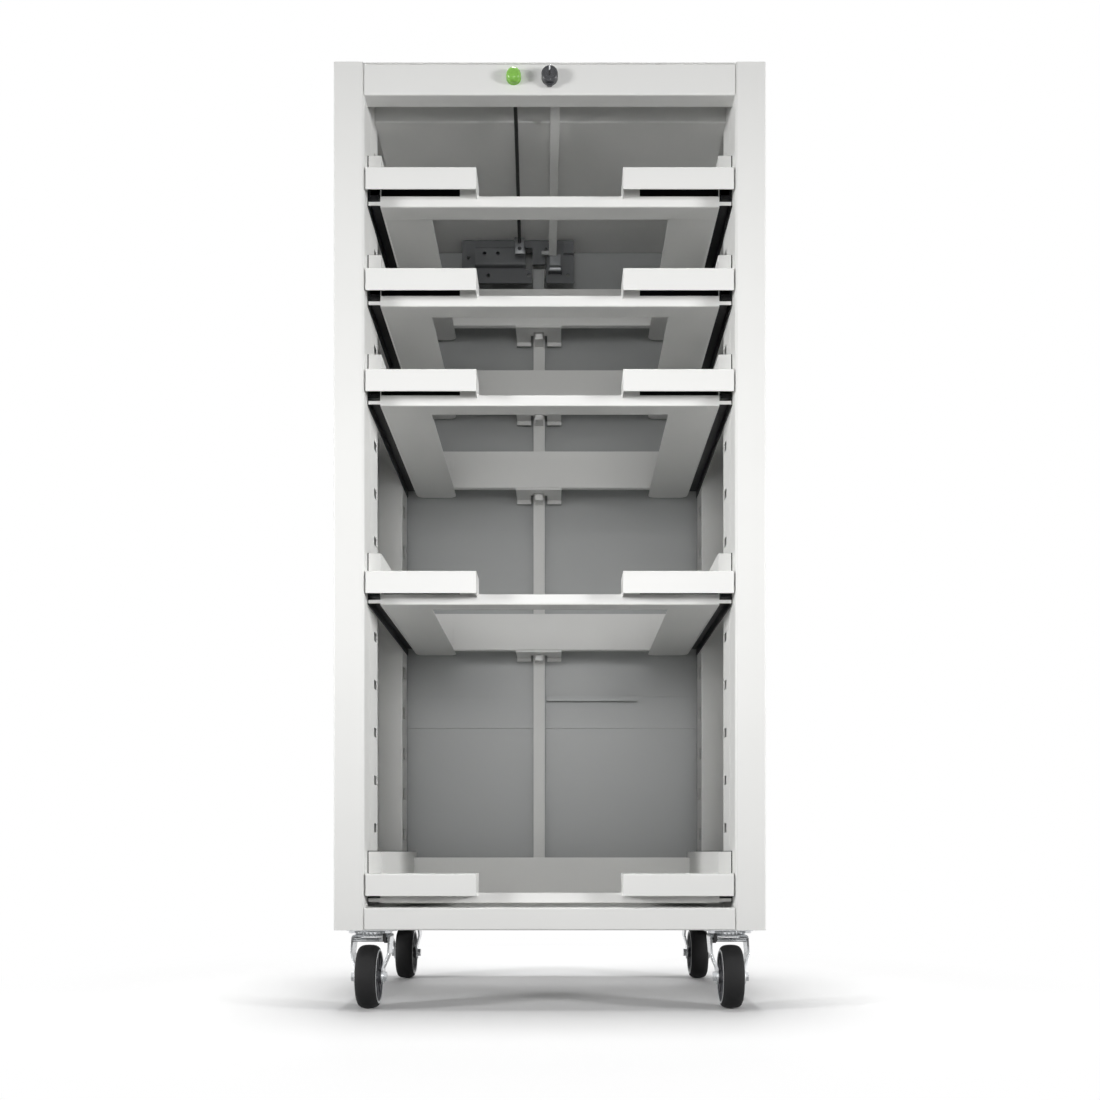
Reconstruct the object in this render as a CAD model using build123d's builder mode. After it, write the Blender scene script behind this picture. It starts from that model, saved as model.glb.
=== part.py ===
from build123d import *
import os
from math import atan2, degrees

os.makedirs("parts", exist_ok=True)

# Cabinet body, folded from painted steel sheet
body_width = 535.0
body_depth = 434.0
body_height = 1075.0
sheet = 1.2
bend = 2.0
column_width = 38.0
column_return = 44.0
column_bend = 4.0
rear_flange = 20.0
top_recess = 1.0
header_height = 40.0
header_depth = 26.0
header_lip = 12.0
floor_front_height = 28.0
floor_recess = 10.0
floor_lip = 20.0
ceiling_drop = 24.0
ceiling_setback = 85.0
ceiling_side_gap = 0.2

# Back of the cabinet: two panels lapped over each other, and a short rail on the lap
back_lap_top = 344.0
back_lap_height = 49.0
rail_start = -8.0
rail_length = 144.0
rail_height = 8.0
rail_depth = 9.0

# Slotted uprights that carry the slides
upright_sheet = 1.2
front_upright_start = 46.0
front_upright_depth = 64.0
front_slot_inset = 45.0
front_slot_height = 12.0
front_slot_drop = 0.0
rear_upright_gap = 12.6
rear_upright_depth = 56.0
rear_slot_inset = 19.0
rear_slot_height = 18.0
rear_slot_drop = 4.0
row_pitch = 62.5
row_top_gap = 20.0
slot_width = 22.0

# Full-extension slides, three nested channels on each side
slide_space = 16.4
slide_sheet = 1.5
slide_start = 26.0
slide_rear_gap = 10.6
slide_half_height = 22.5
slide_gap = 0.4
slide_mouth_gap = 0.8
carrier_rise = 1.0
carrier_height = 65.0
hook_width = 16.0
hook_height = 8.0
hook_depth = 5.0

# Pull-out trays, numbered from the top: rows of slots counted down from above, and the lowest row
tray_rows_down = (2, 4, 6, 10)
tray_floor_gap = 4.5
tray_slide_height = 33.5
tray_wall_height = 65.0
tray_wall_inset = 22.0
tray_front_gap = 1.5
tray_base_width = 61.5
tray_rear_gap = 8.6
tray_base_corner = 12.0
lip_setback = 23.0
lip_height = 13.2
lip_corner = 4.0
cross_depth = 31.0
ear_length = 137.0
ear_height = 37.7
ear_drop = 27.8
ear_pocket_depth = 50.0
ear_corner = 3.0
slot_start_from_ear = 22.0
grip_slot_bottom = 6.3
grip_slot_height = 18.5
rear_wall_inset = 57.0
rear_wall_height = 56.0
rear_wall_flange = 10.0

# Forked catch under the rear wall of each tray
lock_offset = -20.5
catch_width = 70.0
catch_length = 58.0
catch_thickness = 3.0
catch_notch_width = 25.5
catch_notch_length = 27.0
catch_tip_drop = 5.7
catch_tip_thickness = 2.5
catch_hole_width = 16.0
catch_hole_length = 8.0
catch_hole_setback = 22.0

# Vertical lock bar: a channel with one hook for each tray
bar_width = 18.0
bar_head_width = 20.5
bar_head_height = 20.0
bar_depth = 10.0
bar_sheet = 2.0
bar_back_gap = 16.6
bar_top_drop = 51.0
bar_hook_width = 12.0
bar_hook_thickness = 2.5
bar_hook_tip = 6.0
bar_hook_clearance = 1.0
bar_tab_height = 8.0
bar_tab_reach = 10.0
guide_sheet = 1.6
guide_height = 18.0
guide_clearance = 0.4
guide_lip = 4.0
guide_drops = (90.0, 275.0)
guide_rise = 60.0

# Button, lock and what they move, in the space behind the header
lock_axis_drop = 20.0
button_offset = -44.5
button_radius = 9.2
button_projection = 11.0
button_length = 22.0
button_edge = 3.0
button_clearance = 0.1
stem_radius = 4.0
stem_length = 18.0
rod_radius = 2.5
rod_straight = 18.0
rod_crank_depth = 84.0
rod_crank_drop = 14.0
rod_end_reach = 29.0
rod_end_drop = 24.0
rod_end_offset = -49.5
rod_bend = 12.0
clevis_size = 14.0
clevis_length = 9.0
knob_radius = 10.1
knob_projection = 9.0
knob_edge = 1.2
knob_tail_length = 13.0
knob_tail_radius = 2.2
knob_tail_thickness = 3.0
barrel_radius = 8.6
barrel_length = 28.0
barrel_flange = 2.0
barrel_flange_radius = 10.2
lock_shaft_radius = 5.0
shaft_clearance = 0.05
face_clearance = 0.3
cam_setback = 30.0
cam_thickness = 3.0
cam_width = 12.0
cam_reach = 11.0
link_width = 12.0
link_thickness = 2.0
link_front_offset = 7.0
link_front_drop = 5.0
link_rear_reach = 10.0
link_rear_offset = 1.0
link_rear_drop = 33.0

# Mechanism plate at the back, under the ceiling plate
plate_left = -140.0
plate_width = 174.0
plate_height = 68.0
plate_thickness = 2.0
plate_back_gap = 43.6
plate_flange = 22.0
hole_radius = 2.8
plate_holes = ((-130.0, 29.0), (-99.0, 56.0), (-36.0, 56.0), (25.0, 56.0))
block_holes = ((-104.5, 27.5), (-83.5, 27.5))
window_left = -41.0
window_width = 33.0
window_drop = 13.0
window_height = 34.0
tongue_width = 20.0
tongue_height = 26.0
bar_slot_width = 22.5
block_left = -119.0
block_width = 78.0
block_height = 28.0
block_drop = 17.0
block_depth = 12.0
lever_offset = 5.0
lever_width = 17.0
lever_pivot_reach = 8.0
lever_pivot_drop = 50.0
lever_barrel_radius = 5.0
lever_pin_radius = 2.5
lever_arm_height = 22.0
lever_thickness = 3.0
cheek_thickness = 2.0
stop_width = 16.0
stop_height = 19.5
stop_drop = 4.5
stop_depth = 6.0

# Casters
caster_height = 100.0
caster_offset = 228.0
front_kingpin = 62.0
rear_kingpin_inset = 66.0
base_channel_width = 76.0
caster_plate = 60.0
caster_plate_thickness = 3.0
caster_plate_corner = 6.0
bolt_spacing = 44.0
bolt_radius = 3.0
bolt_hole_clearance = 0.3
bolt_head_radius = 5.5
bolt_head_height = 3.0
raceway_radius = 20.0
raceway_height = 5.0
crown_half_width = 24.5
kingpin_radius = 5.0
running_clearance = 0.06
trail = 32.0
wheel_radius = 40.0
tyre_width = 27.0
tyre_thickness = 8.0
tyre_shoulder = 7.5
hub_width = 25.0
hub_edge = 1.5
hub_boss_radius = 9.0
hub_boss_width = 31.0
hub_recess = 6.0
fork_gap = 1.5
fork_thickness = 2.5
fork_depth = 40.0
fork_end_radius = 10.0
fork_shoulder = 18.0
fork_bend = 4.0
axle_radius = 4.0
axle_head_radius = 6.5
axle_head_height = 4.0
brake_pin_radius = 2.0
brake_barrel_radius = 3.6
brake_pin_setback = 12.0
brake_pin_drop = 5.0
brake_offset = 18.0
brake_width = 4.0
brake_length = 12.5
brake_height = 8.0
brake_thickness = 2.4

# Fixings of the back panels
rivet_radius = 4.0
rivet_height = 1.5
rivet_rows = 6

# Levels and planes that follow from the sizes above
depth_front = max(button_projection, wheel_radius + trail - front_kingpin)
rear_kingpin = body_depth - rear_kingpin_inset
depth_rear = max(body_depth + rivet_height, rear_kingpin + trail + wheel_radius)
front = -(depth_rear - depth_front) / 2
body_bottom = caster_height
body_top = body_bottom + body_height
half_width = body_width / 2
wall_face = half_width - sheet
fold_inside = bend - sheet
panel_half = wall_face - fold_inside
inner_plane = half_width - column_width
top_sheet_top = body_top - top_recess
top_sheet_bottom = top_sheet_top - sheet
header_bottom = top_sheet_top - header_height
ceiling_bottom = body_top - ceiling_drop
floor_front_top = body_bottom + floor_front_height
floor_top = floor_front_top - floor_recess
floor_bottom = floor_top - sheet
back_outer = front + body_depth - sheet
back_inner = back_outer - sheet
rear_upright_start = back_inner - front - rear_upright_gap - rear_upright_depth
front_slot_depth = front_upright_start + front_slot_inset
rear_slot_depth = rear_upright_start + rear_slot_inset
first_row = floor_front_top + tray_floor_gap + tray_slide_height
row_count = int((header_bottom - row_top_gap - first_row) // row_pitch) + 1
tray_rows = (*(row_count - rows_down for rows_down in tray_rows_down), 0)
tray_half = inner_plane - slide_space
ear_outer = inner_plane - tray_front_gap
ear_inner = ear_outer - ear_length
frame_opening_half = tray_half - tray_base_width
slide_front = front + slide_start
slide_rear = back_inner - slide_rear_gap
lock_level = body_top - lock_axis_drop
lip_front = front + lip_setback
lip_back = lip_front + sheet
base_rear = back_inner - tray_rear_gap
side_wall_rear = base_rear - tray_wall_inset
wall_front = base_rear - rear_wall_inset
plate_front = back_inner - plate_back_gap
bar_front = back_inner - bar_back_gap
guide_levels = (*(body_height - drop for drop in guide_drops), guide_rise)


def save(part, name):
    part.label = name
    export_step(part, f"parts/{name}.step")


def block(x, y, z, mode=Mode.ADD):
    with BuildSketch(Plane.XY.offset(z[0])) as outline:
        with Locations(((x[0] + x[1]) / 2, (y[0] + y[1]) / 2)):
            Rectangle(x[1] - x[0], y[1] - y[0])
    extrude(outline.sketch, amount=z[1] - z[0], mode=mode)


def side_block(sign, x, y, z, mode=Mode.ADD):
    block(sorted((sign * x[0], sign * x[1])), y, z, mode)


def folded(plane, points, radii, thickness, side):
    with BuildSketch(plane) as section:
        with BuildLine():
            FilletPolyline(*points, radius=radii)
            offset(amount=thickness, side=side)
        make_face()
    return section.sketch


def disc(plane, center, radius, length, mode=Mode.ADD):
    with BuildSketch(plane) as outline:
        with Locations(center):
            Circle(radius)
    extrude(outline.sketch, amount=length, mode=mode)


def across(x):
    return Plane.YZ.offset(x)


def facing(y):
    return Plane(origin=(0, y, 0), x_dir=(1, 0, 0), z_dir=(0, -1, 0))


def row_level(row):
    return first_row + row * row_pitch


def tray_level(row):
    return row_level(row) - tray_slide_height


sides = {"left": -1, "right": 1}

# Side panels: wall, front column with its return, and rear flange, from one sheet
for side_name, sign in sides.items():
    with BuildPart() as side_panel:
        outline_points = (
            (sign * (half_width - rear_flange), front + body_depth),
            (sign * half_width, front + body_depth),
            (sign * half_width, front),
            (sign * inner_plane, front),
            (sign * inner_plane, front + column_return),
        )
        inside = Side.LEFT if sign < 0 else Side.RIGHT
        section = folded(Plane.XY.offset(body_bottom), outline_points, (bend, bend, column_bend), sheet, inside)
        extrude(section, amount=body_height)
        side_block(
            sign,
            (inner_plane, inner_plane + sheet),
            (front + front_kingpin - base_channel_width / 2, front + column_return),
            (body_bottom, floor_top),
            mode=Mode.SUBTRACT,
        )
        side_block(
            sign,
            (inner_plane, inner_plane + column_bend),
            (front + sheet, front + column_return),
            (top_sheet_bottom, body_top),
            mode=Mode.SUBTRACT,
        )
    save(side_panel.part, f"side_panel_{side_name}")

# Top panel, with a tongue that closes the top edge between the columns
with BuildPart() as top_panel:
    with BuildSketch(Plane.XY.offset(top_sheet_bottom)) as top_outline:
        with Locations((0, (front + sheet + back_outer) / 2)):
            RectangleRounded(2 * wall_face, back_outer - front - sheet, fold_inside)
    extrude(top_outline.sketch, amount=sheet)
    block((-inner_plane, inner_plane), (front, front + sheet), (top_sheet_bottom, top_sheet_top))
save(top_panel.part, "top_panel")

# Header: face, upper flange and stiffened lower flange, with the two round openings
header_points = (
    (front + floor_lip, top_sheet_bottom),
    (front, top_sheet_bottom),
    (front, header_bottom),
    (front + header_depth, header_bottom),
    (front + header_depth, header_bottom + header_lip),
)
with BuildPart() as header:
    extrude(folded(across(-inner_plane), header_points, bend, sheet, Side.LEFT), amount=2 * inner_plane)
    for x, radius in ((button_offset, button_radius + button_clearance), (0, barrel_radius)):
        disc(facing(front + sheet), (x, lock_level), radius, sheet, mode=Mode.SUBTRACT)
save(header.part, "header")

# Ceiling plate: a shallow tray turned upside down under the top panel
ceiling_points = (
    (front + ceiling_setback, top_sheet_bottom),
    (front + ceiling_setback, ceiling_bottom),
    (back_inner, ceiling_bottom),
    (back_inner, top_sheet_bottom),
)
ceiling_half = inner_plane - ceiling_side_gap
with BuildPart() as ceiling_plate:
    extrude(folded(across(-ceiling_half), ceiling_points, bend, sheet, Side.LEFT), amount=2 * ceiling_half)
save(ceiling_plate.part, "ceiling_plate")

# Bottom panel: front face, raised front edge, sunk floor and rear flange
floor_points = (
    (front + floor_lip, body_bottom),
    (front, body_bottom),
    (front, floor_front_top),
    (front + header_depth, floor_front_top),
    (front + header_depth, floor_top),
    (back_inner, floor_top),
    (back_inner, body_bottom),
)
with BuildPart() as bottom_panel:
    extrude(folded(across(-inner_plane), floor_points, bend, sheet, Side.RIGHT), amount=2 * inner_plane)
    for sign in sides.values():
        side_block(
            sign,
            (inner_plane, wall_face),
            (front + front_upright_start, back_inner),
            (floor_bottom, floor_top),
        )
save(bottom_panel.part, "bottom_panel")

# Base channels that carry the casters
bolt_half = bolt_spacing / 2
kingpins = {"front": front + front_kingpin, "rear": front + rear_kingpin}
with BuildPart() as base_channels:
    for kingpin_y in kingpins.values():
        half = base_channel_width / 2
        channel_points = (
            (kingpin_y - half, floor_bottom),
            (kingpin_y - half, body_bottom),
            (kingpin_y + half, body_bottom),
            (kingpin_y + half, floor_bottom),
        )
        extrude(folded(across(-wall_face), channel_points, bend, sheet, Side.LEFT), amount=2 * wall_face)
        for sign in sides.values():
            with BuildSketch(Plane.XY.offset(body_bottom)) as bolt_holes:
                with Locations((sign * caster_offset, kingpin_y)):
                    with GridLocations(bolt_spacing, bolt_spacing, 2, 2):
                        Circle(bolt_radius + bolt_hole_clearance)
            extrude(bolt_holes.sketch, amount=sheet, mode=Mode.SUBTRACT)
save(base_channels.part, "base_channels")

# Back panels: the lower one steps forward over the foot of the upper one
lap_top = body_bottom + back_lap_top
lap_bottom = lap_top - back_lap_height
with BuildPart() as back_panel_lower:
    block((-panel_half, panel_half), (back_inner, back_outer), (body_bottom, lap_bottom))
    block((-panel_half, panel_half), (back_inner - sheet, back_inner), (lap_bottom - sheet, lap_top))
save(back_panel_lower.part, "back_panel_lower")

with BuildPart() as back_panel_upper:
    block((-panel_half, panel_half), (back_inner, back_outer), (lap_bottom, top_sheet_bottom))
save(back_panel_upper.part, "back_panel_upper")

# Short angle rail on the lap, right of the lock bar
rail_front = back_inner - sheet - rail_depth
with BuildPart() as back_rail:
    block(
        (rail_start, rail_start + rail_length),
        (rail_front, back_inner - sheet),
        (lap_top - sheet, lap_top),
    )
    block(
        (rail_start, rail_start + rail_length),
        (rail_front, rail_front + sheet),
        (lap_top - rail_height, lap_top),
    )
save(back_rail.part, "back_rail")

# Uprights: channels whose slotted web lies in the inner plane
uprights = {
    "front": (front + front_upright_start, front_upright_depth),
    "rear": (front + rear_upright_start, rear_upright_depth),
}
slot_shapes = {
    "front": (front + front_slot_depth, front_slot_height, front_slot_drop),
    "rear": (front + rear_slot_depth, rear_slot_height, rear_slot_drop),
}
for place, (start, depth) in uprights.items():
    slot_y, slot_height, slot_drop = slot_shapes[place]
    for side_name, sign in sides.items():
        with BuildPart() as upright:
            channel_points = (
                (sign * wall_face, start),
                (sign * inner_plane, start),
                (sign * inner_plane, start + depth),
                (sign * wall_face, start + depth),
            )
            inside = Side.LEFT if sign < 0 else Side.RIGHT
            section = folded(Plane.XY.offset(floor_top), channel_points, bend, upright_sheet, inside)
            extrude(section, amount=top_sheet_bottom - floor_top)
            with BuildSketch(Plane.YZ.offset(sign * inner_plane)) as slots:
                for row in range(row_count):
                    with Locations((slot_y, row_level(row) - slot_drop)):
                        RectangleRounded(slot_width, slot_height, sheet)
            extrude(slots.sketch, amount=sign * upright_sheet, mode=Mode.SUBTRACT)
        save(upright.part, f"upright_{place}_{side_name}")


# Slide members: a channel with its web at web_x, open towards mouth_x
def slide_member(sign, web_x, mouth_x, half_height, level):
    inward = 1 if mouth_x > web_x else -1
    web = (web_x, web_x + inward * slide_sheet)
    run = (slide_front, slide_rear)
    side_block(sign, web, run, (level - half_height, level + half_height))
    for edge in (-1, 1):
        outer = level + edge * half_height
        inner = outer - edge * slide_sheet
        side_block(sign, (web_x, mouth_x), run, sorted((outer, inner)))


middle_half_height = slide_half_height - slide_sheet - slide_gap
inner_half_height = middle_half_height - slide_sheet - slide_gap
inner_web = tray_half
middle_web = inner_plane - slide_sheet - slide_gap
middle_mouth = inner_web + slide_sheet + slide_mouth_gap
inner_mouth = middle_web - slide_sheet - slide_gap

# Outer slide members on their carrier plates, hooked into the slots of the uprights
with BuildPart() as slide_outer_members:
    for row in tray_rows:
        for sign in sides.values():
            slide_member(sign, inner_plane, middle_mouth, slide_half_height, row_level(row))
            carrier_bottom = tray_level(row) + carrier_rise
            side_block(
                sign,
                (inner_plane - slide_sheet, inner_plane),
                (slide_front, slide_rear),
                (carrier_bottom, carrier_bottom + carrier_height),
            )
            for slot_depth in (front_slot_depth, rear_slot_depth):
                side_block(
                    sign,
                    (inner_plane, inner_plane + hook_depth),
                    (front + slot_depth - hook_width / 2, front + slot_depth + hook_width / 2),
                    (row_level(row) - hook_height / 2, row_level(row) + hook_height / 2),
                )
save(slide_outer_members.part, "slide_outer_members")

# Trays, one after the other, with what rides on them
for number, row in enumerate(tray_rows, start=1):
    level = tray_level(row)
    lip_points = (
        (lip_front + cross_depth, level),
        (lip_front, level),
        (lip_front, level + lip_height),
    )
    ear_points = (
        (front + ear_pocket_depth, level + sheet),
        (front + ear_pocket_depth, level + ear_height),
        (front, level + ear_height),
        (front, level + ear_height - ear_drop),
    )
    with BuildPart() as tray:
        lip_section = folded(across(-tray_half), lip_points, bend, sheet, Side.RIGHT)
        extrude(lip_section, amount=2 * tray_half)
        # front sheet: the low lip, and the plate behind each ear with its grip slot
        with BuildSketch(facing(lip_back)) as front_sheet:
            with Locations((0, level + (bend + lip_height) / 2)):
                Rectangle(2 * ear_inner + ear_length, lip_height - bend)
            for sign in sides.values():
                with Locations((sign * (ear_inner + ear_outer) / 2, level + (bend + ear_height) / 2)):
                    Rectangle(ear_length, ear_height - bend)
            fillet(front_sheet.vertices().group_by(Axis.Y)[1], lip_corner)
            for sign in sides.values():
                slot_inner = ear_inner + slot_start_from_ear
                with Locations((sign * (slot_inner + ear_outer) / 2, level + grip_slot_bottom + grip_slot_height / 2)):
                    Rectangle(ear_outer - slot_inner, grip_slot_height, mode=Mode.SUBTRACT)
        extrude(front_sheet.sketch, amount=sheet)
        for sign in sides.values():
            # base frame beside the opening, laid on the front flange, and the side wall
            with BuildSketch(Plane.XY.offset(level + sheet)) as base:
                with Locations((sign * (tray_half - tray_base_width / 2), (lip_back + base_rear) / 2)):
                    Rectangle(tray_base_width, base_rear - lip_back)
                fillet(base.vertices().group_by(Axis.Y)[-1], tray_base_corner)
            extrude(base.sketch, amount=sheet)
            side_block(
                sign,
                (tray_half - sheet, tray_half),
                (lip_back, side_wall_rear),
                (level, level + tray_wall_height),
            )
            side_block(
                sign,
                (tray_half - sheet, ear_outer),
                (lip_back, lip_back + sheet),
                (level + grip_slot_bottom + grip_slot_height, level + tray_wall_height),
            )
            # wing that joins the rear wall to the side wall
            side_block(
                sign,
                (frame_opening_half, tray_half - sheet),
                (wall_front, wall_front + sheet),
                (level + 2 * sheet, level + rear_wall_height),
            )
            # hollow grip ear
            ear_section = folded(across(min(sign * ear_inner, sign * ear_outer)), ear_points, bend, sheet, Side.LEFT)
            extrude(ear_section, amount=ear_length)
            side_block(
                sign,
                (ear_inner, ear_inner + sheet),
                (front + sheet, front + ear_pocket_depth - sheet),
                (level + ear_height - ear_drop, level + ear_height - sheet),
            )
            side_block(
                sign,
                (tray_half, ear_outer),
                (lip_back + sheet, front + ear_pocket_depth),
                (level, level + ear_height),
                mode=Mode.SUBTRACT,
            )
    save(tray.part, f"tray_{number}")

    # Rear wall of the tray and the forked catch under it
    wall_points = (
        (wall_front + rear_wall_flange, level),
        (wall_front, level),
        (wall_front, level + rear_wall_height),
    )
    catch_level = level - catch_thickness
    with BuildPart() as rear_wall:
        wall_section = folded(across(-frame_opening_half), wall_points, bend, sheet, Side.RIGHT)
        extrude(wall_section, amount=2 * frame_opening_half)
        with BuildSketch(Plane.XY.offset(catch_level)) as catch:
            with Locations((lock_offset, wall_front + catch_length / 2)):
                Rectangle(catch_width, catch_length)
            with Locations((lock_offset, wall_front + catch_length - catch_notch_length / 2)):
                Rectangle(catch_notch_width, catch_notch_length, mode=Mode.SUBTRACT)
            with Locations((lock_offset, wall_front + catch_hole_setback)):
                Rectangle(catch_hole_width, catch_hole_length, mode=Mode.SUBTRACT)
        extrude(catch.sketch, amount=catch_thickness)
        prong_width = (catch_width - catch_notch_width) / 2
        for edge in (-1, 1):
            prong_center = lock_offset + edge * (catch_width - prong_width) / 2
            block(
                (prong_center - prong_width / 2, prong_center + prong_width / 2),
                (wall_front + catch_length - catch_tip_thickness, wall_front + catch_length),
                (catch_level - catch_tip_drop, catch_level),
            )
    save(rear_wall.part, f"tray_rear_wall_{number}")

    with BuildPart() as inner_members:
        for sign in sides.values():
            slide_member(sign, inner_web, inner_mouth, inner_half_height, row_level(row))
    save(inner_members.part, f"slide_inner_members_{number}")

    with BuildPart() as middle_members:
        for sign in sides.values():
            slide_member(sign, middle_web, middle_mouth, middle_half_height, row_level(row))
    save(middle_members.part, f"slide_middle_members_{number}")

# Push button with its stem
with BuildPart() as push_button:
    cap_rear = front - button_projection + button_length
    disc(facing(cap_rear), (button_offset, lock_level), button_radius, button_length)
    fillet(push_button.faces().sort_by(Axis.Y)[0].edges(), button_edge)
    disc(facing(cap_rear + stem_length), (button_offset, lock_level), stem_radius, stem_length)
save(push_button.part, "push_button")

# Push rod, cranked under the ceiling plate, with the clevis on its end
rod_start = cap_rear + stem_length
rod_points = (
    (button_offset, rod_start, lock_level),
    (button_offset, rod_start + rod_straight, lock_level),
    (button_offset, front + rod_crank_depth, lock_level - rod_crank_drop),
    (rod_end_offset, plate_front - rod_end_reach, lock_level - rod_end_drop),
)
with BuildPart() as push_rod:
    with BuildLine() as rod_path:
        FilletPolyline(*rod_points, radius=rod_bend)
    with BuildSketch(Plane(origin=rod_points[0], x_dir=(1, 0, 0), z_dir=(0, 1, 0))):
        Circle(rod_radius)
    sweep()
    block(
        (rod_end_offset - clevis_size / 2, rod_end_offset + clevis_size / 2),
        (rod_points[3][1] - rod_radius, rod_points[3][1] + clevis_length),
        (rod_points[3][2] - clevis_size / 2, rod_points[3][2] + clevis_size / 2),
    )
save(push_rod.part, "push_rod")

# Lock barrel, fixed in the header
bore_radius = lock_shaft_radius + shaft_clearance
with BuildPart() as lock_barrel:
    disc(facing(front + barrel_length), (0, lock_level), barrel_radius, barrel_length)
    disc(facing(front), (0, lock_level), barrel_flange_radius, barrel_flange)
    disc(
        facing(front + barrel_length),
        (0, lock_level),
        bore_radius,
        barrel_length + barrel_flange,
        mode=Mode.SUBTRACT,
    )
save(lock_barrel.part, "lock_barrel")

# Lock knob with its pointer, shaft and cam
knob_rear = front - barrel_flange - face_clearance
with BuildPart() as lock_knob:
    disc(facing(knob_rear), (0, lock_level), knob_radius, knob_projection - barrel_flange)
    fillet(lock_knob.faces().sort_by(Axis.Y)[0].edges(), knob_edge)
    with BuildSketch(facing(knob_rear)) as tail:
        with BuildLine():
            tail_half = knob_radius * 0.7
            Polyline(
                (-tail_half, lock_level - tail_half),
                (tail_half, lock_level - tail_half),
                (knob_tail_radius, lock_level - knob_tail_length),
                (-knob_tail_radius, lock_level - knob_tail_length),
                close=True,
            )
        make_face()
    extrude(tail.sketch, amount=knob_tail_thickness)
    disc(facing(front + cam_setback), (0, lock_level), lock_shaft_radius, front + cam_setback - knob_rear)
    with BuildSketch(facing(front + cam_setback + cam_thickness)) as cam:
        with Locations((0, lock_level)):
            with Locations((cam_reach / 2, -link_front_drop / 2)):
                RectangleRounded(cam_reach + cam_width, cam_width + link_front_drop, cam_width / 3)
    extrude(cam.sketch, amount=cam_thickness)
save(lock_knob.part, "lock_knob")

# Flat link bar from the cam to the lever at the back
link_front = Vector(
    link_front_offset, front + cam_setback + cam_thickness + face_clearance, lock_level - link_front_drop
)
link_rear = Vector(link_rear_offset, plate_front - link_rear_reach, lock_level - link_rear_drop)
link_direction = link_rear - link_front
with BuildPart() as link_bar:
    with BuildSketch(Plane(origin=link_front, x_dir=(1, 0, 0), z_dir=link_direction)):
        Rectangle(link_width, link_thickness)
    extrude(amount=link_direction.length)
save(link_bar.part, "link_bar")

# Mechanism plate with its raised block, stop and lever cheeks
plate_bottom = ceiling_bottom - plate_height
block_top = ceiling_bottom - block_drop
block_bottom = block_top - block_height
block_front = plate_front - block_depth
lever_y = plate_front - lever_pivot_reach
lever_z = ceiling_bottom - lever_pivot_drop
lever_half = lever_width / 2
plate_points = (
    (plate_front + plate_flange, ceiling_bottom),
    (plate_front, ceiling_bottom),
    (plate_front, plate_bottom),
)
block_points = (
    (plate_front, block_top),
    (block_front, block_top),
    (block_front, block_bottom),
    (plate_front, block_bottom),
)
with BuildPart() as mechanism_plate:
    extrude(folded(across(plate_left), plate_points, bend + sheet, plate_thickness, Side.LEFT), amount=plate_width)
    extrude(folded(across(block_left), block_points, bend + sheet, plate_thickness, Side.LEFT), amount=block_width)
    stop_right = plate_left + plate_width
    block(
        (stop_right - stop_width, stop_right),
        (plate_front - stop_depth, plate_front),
        (ceiling_bottom - stop_drop - stop_height, ceiling_bottom - stop_drop),
    )
    # window beside the lock bar, with a tongue left in it, and the slot the bar is seen through
    plate_back = plate_front + plate_thickness
    window_top = ceiling_bottom - window_drop
    window = (window_left, window_left + window_width)
    block(window, (plate_front, plate_back), (window_top - window_height, window_top), mode=Mode.SUBTRACT)
    tongue_bottom = window_top - tongue_height
    tongue = (lock_offset - tongue_width / 2, lock_offset + tongue_width / 2)
    block(tongue, (plate_front, plate_back), (tongue_bottom, window_top))
    bar_slot = (lock_offset - bar_slot_width / 2, lock_offset + bar_slot_width / 2)
    block(bar_slot, (plate_front, plate_back), (plate_bottom, tongue_bottom), mode=Mode.SUBTRACT)
    for holes, face_y in ((plate_holes, plate_back), (block_holes, block_front + plate_thickness)):
        for x, drop in holes:
            disc(facing(face_y), (x, ceiling_bottom - drop), hole_radius, plate_thickness, mode=Mode.SUBTRACT)
    for edge in (-1, 1):
        cheek = lever_offset + edge * (lever_half + face_clearance + cheek_thickness / 2)
        block(
            (cheek - cheek_thickness / 2, cheek + cheek_thickness / 2),
            (lever_y - lever_barrel_radius, plate_front),
            (lever_z - lever_barrel_radius, lever_z + lever_barrel_radius),
        )
    pin_length = lever_width + 2 * (face_clearance + cheek_thickness)
    disc(across(lever_offset - pin_length / 2), (lever_y, lever_z), lever_pin_radius, pin_length)
save(mechanism_plate.part, "mechanism_plate")

# Latch lever that turns on the pin between the cheeks
with BuildPart() as latch_lever:
    disc(across(lever_offset - lever_half), (lever_y, lever_z), lever_barrel_radius, lever_width)
    block(
        (lever_offset - lever_half, lever_offset + lever_half),
        (lever_y - lever_thickness / 2, lever_y + lever_thickness / 2),
        (lever_z, lever_z + lever_arm_height),
    )
    disc(
        across(lever_offset - lever_half),
        (lever_y, lever_z),
        lever_pin_radius + running_clearance,
        lever_width,
        mode=Mode.SUBTRACT,
    )
save(latch_lever.part, "latch_lever")

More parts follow.
